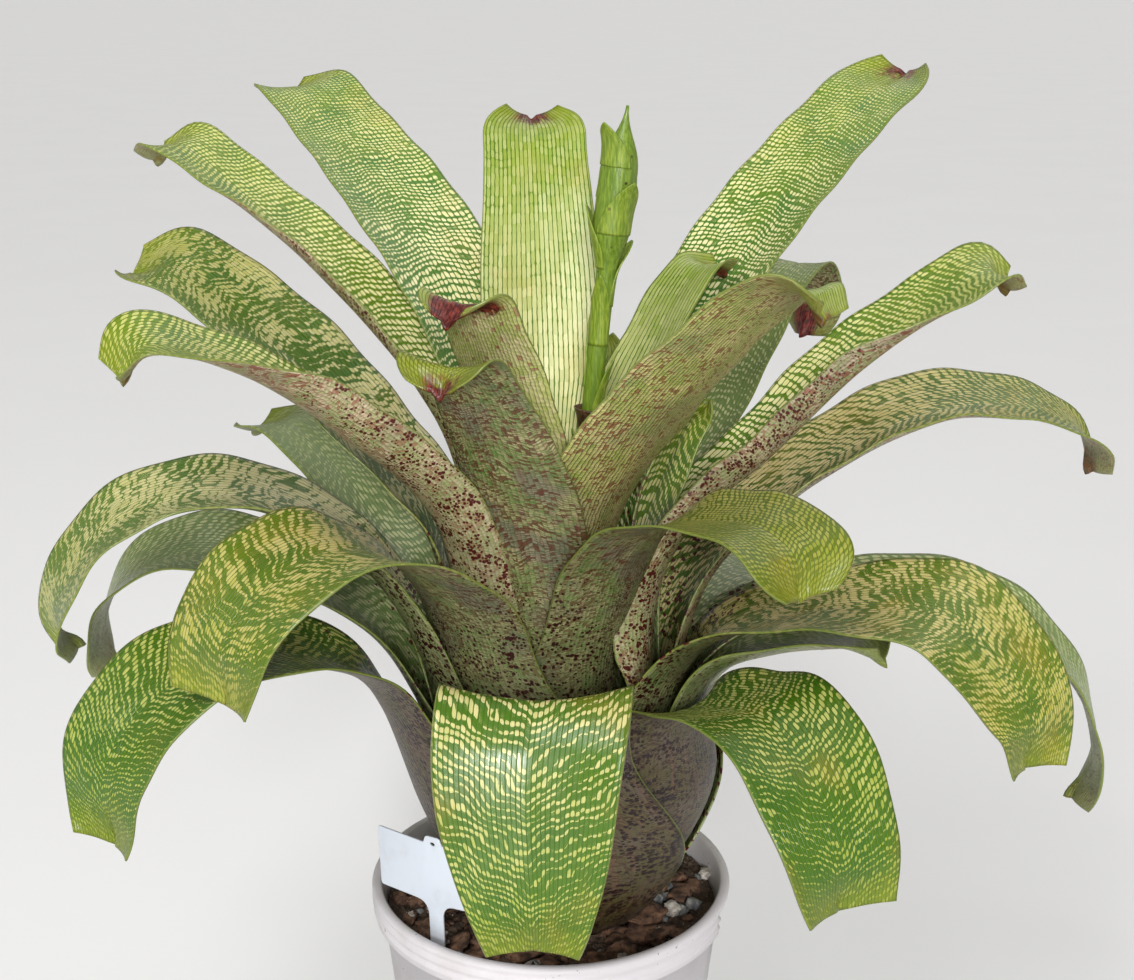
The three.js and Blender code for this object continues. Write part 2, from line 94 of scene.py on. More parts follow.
class Paint:
    """The nodes of one material, each made by a short call that returns its output."""

    def __init__(self, name):
        self.material = bpy.data.materials.new(name)
        self.material.use_nodes = True
        self.tree = self.material.node_tree
        self.shader = self.tree.nodes["Principled BSDF"]

    def node(self, kind, output, *inputs, **settings):
        made = self.tree.nodes.new("ShaderNode" + kind)
        for key, value in settings.items():
            setattr(made, key, value)
        for socket, value in inputs:
            if isinstance(value, bpy.types.NodeSocket):
                self.tree.links.new(value, made.inputs[socket])
            else:
                made.inputs[socket].default_value = value
        return made.outputs[output]

    def math(self, operation, a, b=0.0, c=0.0, clamp=False):
        return self.node("Math", 0, (0, a), (1, b), (2, c), operation=operation, use_clamp=clamp)

    def span(self, value, start, end):
        """0 below start and 1 above end, with a soft step between them."""
        return self.node("MapRange", 0, (0, value), (1, start), (2, end),
                         interpolation_type="SMOOTHSTEP")

    def between(self, value, low, high):
        """The value from 0 to 1, spread from low to high."""
        return self.node("MapRange", 0, (0, value), (3, low), (4, high))

    def colour(self, factor, a, b):
        a, b = (x if isinstance(x, bpy.types.NodeSocket) else (*x, 1) for x in (a, b))
        return self.node("Mix", 2, (0, factor), (6, a), (7, b), data_type="RGBA")

    def position(self):
        return self.node("TexCoord", 3)

    def noise(self, vector, scale, detail=2.0, roughness=0.5):
        return self.node("TexNoise", 0, ("Vector", vector), ("Scale", scale), ("Detail", detail),
                         ("Roughness", roughness))

    def join(self, x, y, z):
        return self.node("CombineXYZ", 0, (0, x), (1, y), (2, z))

    def finish(self, colour, roughness, height=None, depth=0.0, **constants):
        """Feeds the shader, and gives back the material."""
        for socket, value in (("Base Color", colour), ("Roughness", roughness)):
            if isinstance(value, bpy.types.NodeSocket):
                self.tree.links.new(value, self.shader.inputs[socket])
            else:
                self.shader.inputs[socket].default_value = value
        if height is not None:
            bump = self.node("Bump", 0, ("Height", height), ("Distance", depth))
            self.tree.links.new(bump, self.shader.inputs["Normal"])
        for socket, value in constants.items():
            self.shader.inputs[socket.replace("_", " ")].default_value = value
        return self.material


def srgb(*levels):
    """A colour given by its red, green and blue as they look on a screen, 0 to 255."""
    return tuple(((x / 255 + 0.055) / 1.055) ** 2.4 if x > 10 else x / 255 / 12.92 for x in levels)


def pot_wall(height):
    """The radius of the tapered wall's outside."""
    return mix(FOOT_RADIUS, WALL_TOP_RADIUS, height / POT_HEIGHT)


def plate_with_holes(bm, rings, thickness):
    """Fills the outer ring of vertices round the inner ones, and gives the plate its thickness."""
    edges = list({edge for vert in rings for edge in vert.link_edges})
    filled = bmesh.ops.triangle_fill(bm, use_beauty=True, use_dissolve=False, edges=edges)["geom"]
    faces = [f for f in filled if isinstance(f, bmesh.types.BMFace)]
    raised = bmesh.ops.extrude_face_region(bm, geom=faces, use_keep_orig=True)["geom"]
    bmesh.ops.translate(bm, verts=[v for v in raised if isinstance(v, bmesh.types.BMVert)],
                        vec=(0, 0, thickness * MM))
    bmesh.ops.recalc_face_normals(bm, faces=bm.faces)


def white_plastic():
    paint = Paint("pot_white")
    spot = paint.position()
    height = paint.node("SeparateXYZ", 2, (0, spot))
    scuffs = paint.noise(spot, 90, 6, 0.65)
    dust = paint.span(paint.noise(spot, 22, 5, 0.6), 0.45, 0.75)
    low = paint.span(height, 0.09, 0.0)
    dirt = paint.math("MULTIPLY_ADD", dust, 0.35, paint.math("MULTIPLY", low, 0.3), clamp=True)
    base = paint.colour(dirt, srgb(208, 204, 207), srgb(162, 154, 144))
    flecks = paint.span(paint.noise(spot, 420, 2, 0.6), 0.7, 0.76)
    base = paint.colour(flecks, base, srgb(120, 104, 88))
    rough = paint.between(scuffs, 0.38, 0.62)
    return paint.finish(base, rough, paint.noise(spot, 300, 4, 0.6), 0.00012, Specular_IOR_Level=0.45)


def build_pot():
    bm = bmesh.new()
    wall = pot_wall(SKIRT_BOTTOM)
    waist = pot_wall(60)
    profile = [(FLOOR_RADIUS, WALL), (FLOOR_RADIUS, 0), (FOOT_RADIUS - 3, 0), (FOOT_RADIUS - 1, 0.5),
               (FOOT_RADIUS, 2.4), (waist, 60), (wall, SKIRT_BOTTOM), (wall + 1.6, SKIRT_BOTTOM - 0.6),
               (98, 154), (98.7, 154.6), (98.9, 157.4), (99.5, 158.2), (99.5, 159.4), (98.9, 160.2),
               (99.1, 162.6), (RIM_RADIUS, 163.6), (RIM_RADIUS, 164.8), (99, 165.8), (99, 167.6),
               (99.9, 169), (RIM_RADIUS, 170), (99.4, 171.2), (98, POT_HEIGHT), (95.6, POT_HEIGHT),
               (94.5, 171.2), (wall - 1.4, SKIRT_BOTTOM + 3), (wall - WALL, SKIRT_BOTTOM),
               (waist - WALL, 60), (FOOT_RADIUS - 2.2, 4), (FOOT_RADIUS - 4, WALL),
               (FLOOR_RADIUS, WALL)]
    spin_profile(bm, profile, POT_SIDES)
    for vert in bm.verts:
        x, y, z = vert.co / MM
        reach = math.hypot(x, y)
        flush = pot_wall(z) + 0.3
        in_gap = SKIRT_GAP[0] < math.degrees(math.atan2(y, x)) < SKIRT_GAP[1]
        if in_gap and 152 < z < 168 and reach > flush:
            shrink = flush / reach
            vert.co = (x * shrink * MM, y * shrink * MM, z * MM)
    rings = bmesh.ops.create_circle(bm, segments=96, radius=(FLOOR_RADIUS + 0.2) * MM)["verts"]
    out = DRAIN_CIRCLE * MM
    for k in range(DRAIN_HOLES):
        turn = math.radians(30 + 360 / DRAIN_HOLES * k)
        spot = Matrix.Translation((out * math.cos(turn), out * math.sin(turn), 0))
        hole = bmesh.ops.create_circle(bm, segments=24, radius=DRAIN_RADIUS * MM, matrix=spot)
        rings += hole["verts"]
    plate_with_holes(bm, rings, WALL)
    return bm


finish_mesh("pot_body", build_pot(), [white_plastic()], "pot_plastic", "pot")

# Stem
# The short woody stem of the plant. Its foot stands in the soil, and its wide cone carries the leaf
# bases. It is rough and brown, and ringed by the scars of old leaves.
PLANT_X = 10
STEM_SIDES = 96


def stem_bark():
    paint = Paint("stem_bark")
    spot = paint.position()
    rings = paint.node("TexWave", 1, ("Vector", spot), ("Scale", 70.0), ("Distortion", 4.0),
                       ("Detail", 3.0), bands_direction="Z")
    base = paint.colour(rings, srgb(92, 70, 44), srgb(140, 118, 78))
    base = paint.colour(paint.span(paint.noise(spot, 160, 4), 0.5, 0.7), base, srgb(62, 44, 30))
    return paint.finish(base, 0.85, rings, 0.0012)


def build_stem():
    bm = bmesh.new()
    profile = [(0, 95), (14, 95), (18, 96.5), (24, 107), (24, 120), (24, 134), (30, 140), (38, 146.5),
               (40, 149), (39.6, 151), (30, 158.2), (20, 166.2), (10, 174.2), (7, 176.6), (4, 177),
               (0, 177)]
    spin_profile(bm, profile, STEM_SIDES, (PLANT_X, 0, 0))
    return bm


finish_mesh("stem_wood", build_stem(), [stem_bark()], "stem", "stem")

# Soil
# Coarse potting mix, filled to just under the rim: dark composted bark and peat, with bark chips, grey
# stones and white pumice lying in it. It closes round the plant's stem.
SOIL_HEIGHT = 158
SOIL_RADIUS = 91
HOLE_RADIUS = 46
SOIL_SIDES = 180


def soil_top(x, y):
    """The height of the uneven soil."""
    uneven = 1.3 * math.sin(x * 0.11 + 1) * math.cos(y * 0.13) + 0.8 * math.sin(x * 0.29 + y * 0.23)
    return SOIL_HEIGHT + uneven


def dark_soil():
    paint = Paint("soil_dark")
    spot = paint.position()
    crumbs = paint.node("TexVoronoi", 0, ("Vector", spot), ("Scale", 420.0))
    tint = paint.noise(spot, 260, 5, 0.7)
    base = paint.colour(tint, srgb(38, 29, 24), srgb(116, 94, 76))
    grit = paint.span(paint.noise(spot, 700, 2, 0.5), 0.68, 0.72)
    base = paint.colour(grit, base, srgb(190, 182, 170))
    relief = paint.math("ADD", crumbs, tint)
    return paint.finish(base, 0.95, relief, 0.0016)


def build_soil():
    bm = bmesh.new()
    profile = [(0, 2.3), (72, 2.3), (74.4, 3.5), (90, 146), (91.4, 154), (91.2, 157)]
    steps = 40
    inner = HOLE_RADIUS + 0.5
    profile += [(mix(SOIL_RADIUS, inner, i / steps), SOIL_HEIGHT) for i in range(1, steps + 1)]
    profile += [(HOLE_RADIUS, 151.5), (44, 149.5), (41.6, 147), (26, 134.5), (24.6, 134), (24.6, 106),
                (19, 94.7), (0, 94.7)]
    spin_profile(bm, profile, SOIL_SIDES)
    for vert in bm.verts:
        x, y, z = vert.co / MM
        reach = math.hypot(x, y)
        if z > 156 and reach > HOLE_RADIUS:
            lumps = 1.6 * noise.fractal(Vector((x, y, 3)) * 0.16, 0.6, 2.0, 4)
            lumps *= smooth(HOLE_RADIUS, HOLE_RADIUS + 3, reach)
            vert.co.z = (soil_top(x, y) + lumps) * MM
        if z > 90 and reach < 60:
            vert.co.x += PLANT_X * (1 - smooth(inner, 62, reach)) * MM
    bmesh.ops.recalc_face_normals(bm, faces=bm.faces)
    return bm


finish_mesh("soil_bed", build_soil(), [dark_soil()], "soil", "soil")


def chip_material(name, dark, light, scale, roughness):
    """Bark, stone or pumice: mottled between two colours, and finely rough."""
    paint = Paint(name)
    spot = paint.position()
    tint = paint.noise(spot, scale, 6, 0.65)
    base = paint.colour(paint.span(tint, 0.35, 0.68), dark, light)
    pits = paint.span(paint.noise(spot, scale * 4, 3, 0.6), 0.55, 0.7)
    base = paint.colour(paint.math("MULTIPLY", pits, 0.45), base, dark)
    relief = paint.math("SUBTRACT", tint, pits)
    return paint.finish(base, roughness, relief, 0.0009)


def add_chip(bm, place, size, seed, rough):
    """One broken piece: a blocky ball drawn out to its three sizes, roughened, turned and placed."""
    made = bmesh.ops.create_icosphere(bm, subdivisions=3, radius=0.5)["verts"]
    turn = random.Random(seed)
    spin = Matrix.Rotation(turn.uniform(0, math.pi), 3, "Z")
    spin = spin @ Matrix.Rotation(turn.uniform(-0.35, 0.35), 3, "X")
    for vert in made:
        point = vert.co.copy()
        blocky = Vector([math.copysign(abs(2 * c) ** 0.6, c) / 2 for c in point])
        lump = 1 + rough * noise.noise(blocky * 3 + Vector((seed, 0, 0)))
        flake = 1 + 0.5 * rough * noise.noise(blocky * 9 + Vector((0, seed, 0)))
        shaped = Vector([c * s for c, s in zip(blocky * lump * flake, size)])
        vert.co = (spin @ shaped + Vector(place)) * MM


def scatter_chips(bm, count, seed, largest, flat, rough):
    """Chips lie at random on the soil, between the stem and the wall, and most of them are small."""
    dice = random.Random(seed)
    for i in range(count):
        angle = dice.uniform(0, 2 * math.pi)
        long = mix(3, largest, dice.random() ** 1.8)
        reach = mix(54, 89 - long / 2, dice.random() ** 0.8)
        x, y = reach * math.cos(angle), reach * math.sin(angle)
        size = (long, long * dice.uniform(0.5, 0.9), long * flat * dice.uniform(0.7, 1.2))
        add_chip(bm, (x, y, soil_top(x, y) + dice.uniform(0, 1.2)), size, seed * 100 + i, rough)


def lay_mix(name, count, seed, largest, flat, rough, placed, material):
    """All pieces of one kind: the scattered ones, and larger ones, each with its x, y and size."""
    bm = bmesh.new()
    scatter_chips(bm, count, seed, largest, flat, rough)
    for number, (x, y, size) in enumerate(placed):
        add_chip(bm, (x, y, soil_top(x, y) + size[2] * 0.3), size, seed + number, rough)
    bmesh.ops.recalc_face_normals(bm, faces=bm.faces)
    finish_mesh(name, bm, [material], "soil")


lay_mix("bark_chips", 110, 3, 20, 0.3, 0.5,
        [(51, -30, (26, 16, 7)), (68, 11, (18, 11, 6)), (-84, -8, (11, 8, 6)), (-63, -52, (15, 9, 7)),
         (58, -48, (19, 12, 5)), (38, -64, (17, 11, 5)), (72, -4, (17, 12, 5)), (80, 6, (11, 8, 5))],
        chip_material("bark_brown", srgb(52, 36, 27), srgb(150, 112, 86), 150, 0.85))
lay_mix("stones_grey", 50, 5, 9, 0.7, 0.25,
        [(57, -11, (11, 9, 7)), (79, -16, (9, 7, 6))],
        chip_material("stone_grey", srgb(84, 88, 92), srgb(158, 156, 150), 230, 0.8))
lay_mix("pumice_white", 60, 8, 7, 0.8, 0.45,
        [(67, -20, (9, 8, 7)), (88, 19, (7, 6, 5)), (59, -45, (5, 4, 4))],
        chip_material("pumice", srgb(160, 150, 138), srgb(236, 230, 220), 300, 0.95))

# Label
# A plant tag cut from thin white plastic sheet: a T with a small slotted tab at its top. Its stem is
# pushed into the soil inside the rim at the front left, and its face is bare.
LABEL_THICKNESS = 1.2
LABEL_PLACE = (-58.5, -62, SOIL_HEIGHT)
LABEL_TURN = -33
LABEL_TILT = 2


def label_plastic():
    paint = Paint("label_white")
    spot = paint.position()
    grime = paint.span(paint.noise(spot, 60, 5, 0.6), 0.5, 0.8)
    low = paint.span(paint.node("SeparateXYZ", 2, (0, spot)), 0.178, 0.158)
    dirt = paint.math("MULTIPLY_ADD", grime, 0.2, paint.math("MULTIPLY", low, 0.45), clamp=True)
    base = paint.colour(dirt, srgb(198, 205, 214), srgb(152, 140, 124))
    rough = paint.between(paint.noise(spot, 120, 3), 0.3, 0.5)
    return paint.finish(base, rough, paint.noise(spot, 500, 3), 0.00006)


def build_label():
    bm = bmesh.new()
    right = [(1, -30), (4.6, -20.8), (4.6, 23), (5.1, 25.4), (6.1, 27.2), (7.4, 28.6), (9.2, 29.6),
             (11.6, 30.1), (34.6, 31.8), (35.6, 32.4), (36, 33.6), (36, 64.4), (35.6, 65.6),
             (34.4, 65.9), (6, 64), (4.6, 67.4), (3.4, 68)]
    outline = right + [(-x, y) for x, y in reversed(right)]
    rings = [bm.verts.new((x * MM, y * MM, 0)) for x, y in outline]
    for a, b in zip(rings, rings[1:] + rings[:1]):
        bm.edges.new((a, b))
    slot = Matrix.Translation((0, 64 * MM, 0)) @ Matrix.Diagonal((1.6, 1, 1, 1))
    rings += bmesh.ops.create_circle(bm, segments=20, radius=1 * MM, matrix=slot)["verts"]
    plate_with_holes(bm, rings, LABEL_THICKNESS)
    rims = [e for e in bm.edges
            if e.calc_face_angle(0) > 1 and abs(e.verts[0].co.z - e.verts[1].co.z) < 1e-7]
    bmesh.ops.bevel(bm, geom=rims, affect="EDGES", offset=0.3 * MM, segments=2, profile=0.5,
                    material=-1)
    upright = Matrix.Rotation(math.radians(90), 4, "X")
    turn = Matrix.Rotation(math.radians(LABEL_TURN), 4, "Z") @ upright
    tilt = Matrix.Rotation(math.radians(LABEL_TILT), 4, "Z")
    place = Matrix.Translation(Vector(LABEL_PLACE) * MM)
    bmesh.ops.transform(bm, matrix=place @ turn @ tilt, verts=bm.verts)
    return bm


finish_mesh("label_tag", build_label(), [label_plastic()], "label_plastic", "label")

# Leaves
# Thirty strap-shaped leaves, two to a ring, in nested rings. Each is one thick, stiff sheet with a
# spotted sheath that hugs the ring inside it, a channelled blade netted in green over cream, and a broad
# tip with a small bent-back awn.
LEAF_THICKNESS = 1
LEAF_COLUMNS = 28
LEAF_ROWS = 120
LEAF_RINGS = 15
INNER_FOOT = 9
OUTER_FOOT = 39
INNER_SHEATH = [(9.5, 190), (10, 210), (11, 240), (13, 290)]
OUTER_SHEATH = [(55, 171), (73, 196), (89, 228), (103, 288)]
OPENED_RADIUS = 62

# Each row is a leaf: its azimuth, width, blade points (out from the axis, up), form, upper face, under
# face and tone. In its form, cup is how tightly it is channelled (1 is a radius of 100 mm), roll turns
# the blade and twist its tip, swing and lean shift it to a side, fold is how much its front half is curled
# up and to what share of its length, horned is the share of its width that a square-cut tip keeps, and
# blotch and gold stain it.
LEAVES = [
    (95, 68, [(26, 400), (45, 460), (80, 534), (108, 574), (122, 584)],
     {"cup": 0.9, "blotch": 1, "gold": 0.5}, "striped", "pale", 0.6),
    (236, 60, [(28, 400), (42, 450), (58, 488), (72, 508), (86, 506)],
     {"cup": 2.2, "blotch": 1.5}, "striped", "pale", 0.7),
    (-57, 78, [(38, 386), (64, 431), (98, 475), (131, 510), (149, 519), (162, 511)],
     {"cup": 1.3, "swing": 20, "roll": -12, "blotch": 0.8}, "striped", "tan", 0.6),
    (42, 44, [(32, 388), (52, 430), (76, 466), (94, 490), (112, 504), (130, 504)],
     {"cup": 2, "blotch": 1}, "striped", "pale", 0.6),
    (266, 64, [(44, 380), (62, 430), (80, 468), (95, 482), (106, 474)],
     {"cup": 2, "swing": -26, "blotch": 1}, "tender", "speckled", 1),
    (126, 72, [(44, 410), (87, 483), (150, 530), (208, 565), (262, 592), (285, 590)],
     {"roll": -8, "fold": (0.3, 0.95), "blotch": 0.8, "gold": 0.5}, "beaded", "pink", 0.4),
    (74, 46, [(42, 384), (66, 428), (90, 462)], {}, "striped", "pale", 0.5),
    (-52, 68, [(60, 370), (88, 398), (126, 411), (160, 415), (182, 406), (190, 392)],
     {"cup": 1.2, "roll": 8, "gold": 0.6}, "tender", "speckled", 0.5),
    (44, 72, [(52, 388), (88, 442), (128, 486), (178, 529), (235, 571), (295, 605)],
     {"roll": 8, "fold": (0.5, 0.9), "blotch": 1, "gold": 0.3}, "beaded", "pink", 0.5),
    (153, 64, [(54, 406), (76, 446), (128, 496), (192, 542), (236, 568), (252, 562)],
     {"cup": 1.3, "roll": -8, "fold": (1.9, 0.98)}, "netted", "pink", 0.7),
    (203, 76, [(62, 386), (111, 438), (160, 474), (206, 491), (220, 480)],
     {"cup": 1.7, "roll": -8, "fold": (1.3, 0.95), "blotch": 0.5}, "netted", "pink", 0.6),
    (28, 56, [(56, 365), (74, 405), (90, 436)], {}, "netted", "grey", 0.4),
    (8, 74, [(62, 352), (84, 384), (113, 408), (160, 454), (207, 491), (236, 509), (248, 502)],
     {"cup": 1.5, "roll": 9, "fold": (1.8, 0.95), "blotch": 0.6}, "netted", "pink", 0.6),
    (167, 82, [(62, 368), (80, 396), (112, 432), (160, 478), (204, 508), (230, 509)],
     {"roll": -16, "gold": 0.5}, "banded", "grey", 0.2),
    (50, 52, [(80, 365), (134, 404), (182, 452), (212, 480), (236, 486), (250, 470), (250, 440)],
     {"cup": 1.2, "blotch": 1}, "shaded", "speckled", 0.3),
    (230, 86, [(71, 342), (97, 375), (133, 395), (168, 390), (195, 368), (206, 334)],
     {"cup": 0.8, "roll": -10, "swing": -9, "gold": 0.5, "horned": 0.62}, "barred", "speckled", 0.7),
    (14, 74, [(88, 346), (128, 382), (168, 407), (220, 426), (280, 422), (314, 404), (324, 388)],
     {"cup": 1.3, "roll": 14, "fold": (0.6, 0.85), "gold": 0.6, "blotch": 0.7}, "chevron", "pink", 0.5),
    (186, 78, [(82, 336), (117, 379), (168, 402), (220, 393), (246, 366), (256, 338), (251, 326)],
     {"cup": 0.9, "roll": -12, "swing": 7, "fold": (0.5, 0.85)}, "banded", "grey", 0.4),
    (-25, 84, [(88, 322), (131, 347), (171, 358), (210, 360), (235, 343), (256, 315), (258, 286)],
     {"cup": 0.7, "roll": 14, "gold": 0.7, "horned": 0.38, "twist": 22}, "barred", "speckled", 0.7),
    (150, 74, [(86, 338), (110, 358), (138, 388), (168, 409), (198, 410)], {}, "shaded", "grey", 0.1),
    (-3, 72, [(95, 318), (147, 338), (199, 344), (246, 328), (279, 292), (286, 250), (282, 224)],
     {"roll": 10}, "shaded", "grey", 0.2),
    (178, 82, [(96, 320), (150, 352), (200, 358), (234, 338), (248, 294)],
     {"roll": -8}, "shaded", "grey", 0.1),
    (-20, 74, [(98, 310), (127, 323), (158, 330), (178, 333)],
     {"cup": 1.3, "roll": -14}, "shaded", "grey", 0.3),
    (138, 78, [(98, 314), (135, 338), (190, 340), (228, 308)], {}, "shaded", "grey", 0.2),
    (-47, 80, [(99, 303), (130, 317), (165, 323), (194, 310), (214, 284), (220, 250)],
     {"cup": 0.8, "roll": 8, "swing": -7, "gold": 0.7, "horned": 0.6}, "fine", "purple", 0.8),
    (105, 78, [(106, 310), (148, 322), (196, 312), (232, 268)], {}, "shaded", "grey", 0.2),
    (207, 84, [(108, 310), (136, 328), (168, 334), (204, 326), (240, 293), (253, 250)],
     {"cup": 0.8, "roll": -10, "gold": 0.2, "horned": 0.42, "twist": -20}, "fine", "purple", 0.8),
    (38, 78, [(108, 306), (146, 316), (186, 300), (212, 262)], {}, "shaded", "grey", 0.2),
    (268, 92, [(114, 317), (132, 334), (149, 321), (163, 272), (169, 222)],
     {"cup": 0.6, "lean": -11, "horned": 0.46, "gold": 0.7}, "bold", "purple", 0.8),
    (70, 78, [(112, 302), (148, 306), (190, 288), (218, 244)], {}, "shaded", "grey", 0.2),
]


def leaf_spine(blade, share):
    """Points (out, up) along a smooth curve through the foot, the sheath and the blade, and the length
    of the curve up to each."""
    foot = mix(INNER_FOOT, OUTER_FOOT, share)
    points = [(foot, mix(177, 151, (foot - 7) / 33) + 0.3)]
    for (near, low), (far, high) in zip(INNER_SHEATH, OUTER_SHEATH):
        points.append((mix(near, far, share), mix(low, high, share)))
    points = [Vector(p) for p in points + blade]
    points = [2 * points[0] - points[1]] + points + [2 * points[-1] - points[-2]]
    dense = []
    steps = 40
    for p0, p1, p2, p3 in zip(points, points[1:], points[2:], points[3:]):
        d0, d1, d2 = ((b - a).length ** 0.5 for a, b in ((p0, p1), (p1, p2), (p2, p3)))
        m1 = ((p1 - p0) / d0 - (p2 - p0) / (d0 + d1) + (p2 - p1) / d1) * d1
        m2 = ((p2 - p1) / d1 - (p3 - p1) / (d1 + d2) + (p3 - p2) / d2) * d1
        for i in range(steps):
            x = i / steps
            dense.append(p1 * (2 * x ** 3 - 3 * x ** 2 + 1) + m1 * (x ** 3 - 2 * x ** 2 + x)
                         + p2 * (3 * x ** 2 - 2 * x ** 3) + m2 * (x ** 3 - x ** 2))
    dense.append(points[-2])
    lengths = [0]
    for a, b in zip(dense, dense[1:]):
        lengths.append(lengths[-1] + (b - a).length)
    return dense, lengths


def spine_at(spine, t):
    """The point and the direction at the share t of the spine's length."""
    dense, lengths = spine
    goal = t * lengths[-1]
    i = 0
    while i < len(dense) - 2 and lengths[i + 1] < goal:
        i += 1
    step = (goal - lengths[i]) / (lengths[i + 1] - lengths[i])
    before = dense[max(i - 1, 0)]
    after = dense[min(i + 2, len(dense) - 1)]
    return dense[i].lerp(dense[i + 1], step), (after - before).normalized()


def leaf_half_width(width, form, t, out):
    """Half the width at t: a wide sheath, then a blade that narrows to its tip."""
    half = width / 2
    taper = mix(0.9, 1, smooth(0.35, 0.65, t))
    if "horned" in form:
        taper *= mix(1, form["horned"], max(0, (t - 0.5) / 0.5) ** 3)
    else:
        taper *= mix(1, 0.84, smooth(0.7, 0.93, t)) * mix(1, 0.5, max(0, (t - 0.94) / 0.06) ** 2.4)
    blade = half * taper
    return min(mix(half * 1.5, blade, smooth(0.24, 0.46, t)), out * 0.86)


def leaf_row(azimuth, width, form, spine, t):
    """The leaf's row at t: its centre, its directions across, up and forward, its bend and half width."""
    place, along = spine_at(spine, t)
    turned = math.radians(azimuth + form.get("swing", 0) * smooth(0.3, 1, t))
    outward = Vector((math.cos(turned), math.sin(turned), 0))
    side = Vector((-math.sin(turned), math.cos(turned), 0))
    face = Vector((-along.y * outward.x, -along.y * outward.y, along.x))
    open_share = smooth(0.28, 0.5, t)
    inward = (outward * (open_share - 1) + face * open_share).normalized()
    roll = math.radians(form.get("roll", 0)) * smooth(0.4, 1, t)
    roll += math.radians(form.get("twist", 0)) * smooth(0.6, 1, t)
    across = side * math.cos(roll) + face * math.sin(roll)
    lift = inward * math.cos(roll) - side * math.sin(roll)
    sheath_bend = mix(1 / place.x, 1 / OPENED_RADIUS, open_share)
    flattened = mix(sheath_bend, form.get("cup", 1) / 100, smooth(0.42, 0.62, t))
    flattened *= mix(1, 0.1 if "horned" in form else 0.55, smooth(0.72, 1, t))
    bend = max(flattened, mix(1, 0.6, smooth(0.5, 0.9, t)) / place.x)
    half = leaf_half_width(width, form, t, place.x)
    centre = outward * place.x + side * form.get("lean", 0) * smooth(0.55, 1, t)
    centre.z = place.y
    centre.x += PLANT_X * (1 - smooth(225, 320, place.y))
    forward = outward * along.x + Vector((0, 0, along.y))
    return centre, across, lift, forward, bend, half


def build_leaf(number, azimuth, width, blade, form, tone):
    """The leaf as a sheet, v from -1 to 1 across it and t from 0 to 1 up it, with its colours' data."""
    share = (number // 2) / (LEAF_RINGS - 1)
    spine = leaf_spine(blade, share)
    length = spine[1][-1]
    bm = bmesh.new()
    grain = bm.verts.layers.float_vector.new("grain")
    place = bm.verts.layers.float_vector.new("place")
    marks = bm.verts.layers.float_vector.new("marks")
    front = 1 if math.cos(math.radians(azimuth)) < 0 else -1
    fold, until = form.get("fold", (0, 1))
    bmesh.ops.create_grid(bm, x_segments=LEAF_COLUMNS, y_segments=LEAF_ROWS, size=1)
    rows = {}
    for vert in bm.verts:
        v = -vert.co.x
        step = (vert.co.y + 1) / 2
        t = mix(step, 1 - (1 - step) ** 1.5, 0.35)
        row = round(step, 5)
        if row not in rows:
            rows[row] = leaf_row(azimuth, width, form, spine, t)
        centre, across, lift, forward, bend, half = rows[row]
        if v * front > 0:
            bend *= 1 + fold * smooth(0.3, 0.42, t) * (1 - smooth(until - 0.2, until, t))
        turn = v * half * bend
        point = centre + across * (math.sin(turn) / bend)
        tip = smooth(0.93, 1, t)
        wave = 0.7 * math.sin(t * length / 7 + number + 2 * v) * abs(v) ** 3 * smooth(0.4, 0.6, t)
        groove = 0.5 * math.exp(-(v / 0.12) ** 2) * smooth(0.3, 0.6, t)
        point += lift * ((1 - math.cos(turn)) / bend - 7 * tip * (1 - v * v) + wave - groove)
        awn = smooth(0.965, 1, t) * (1 - smooth(0, 0.2, abs(v)))
        point += forward * 1.5 * awn - lift * 3.5 * awn
        vert.co = point * MM
        vert[grain] = (v * width / 2 * MM, t * length * MM, number * 0.37)
        vert[place] = (v, t, tone)
        vert[marks] = (-v * front, form.get("blotch", 0), form.get("gold", 0))
    return bm


def leaf_place(paint):
    """How far a point is from the midline and how far up the leaf, from 0 to 1, and the leaf's tone."""
    place = paint.node("Attribute", 1, attribute_name="place")
    v, t, tone = (paint.node("SeparateXYZ", i, (0, place)) for i in range(3))
    return paint.math("ABSOLUTE", v), t, tone


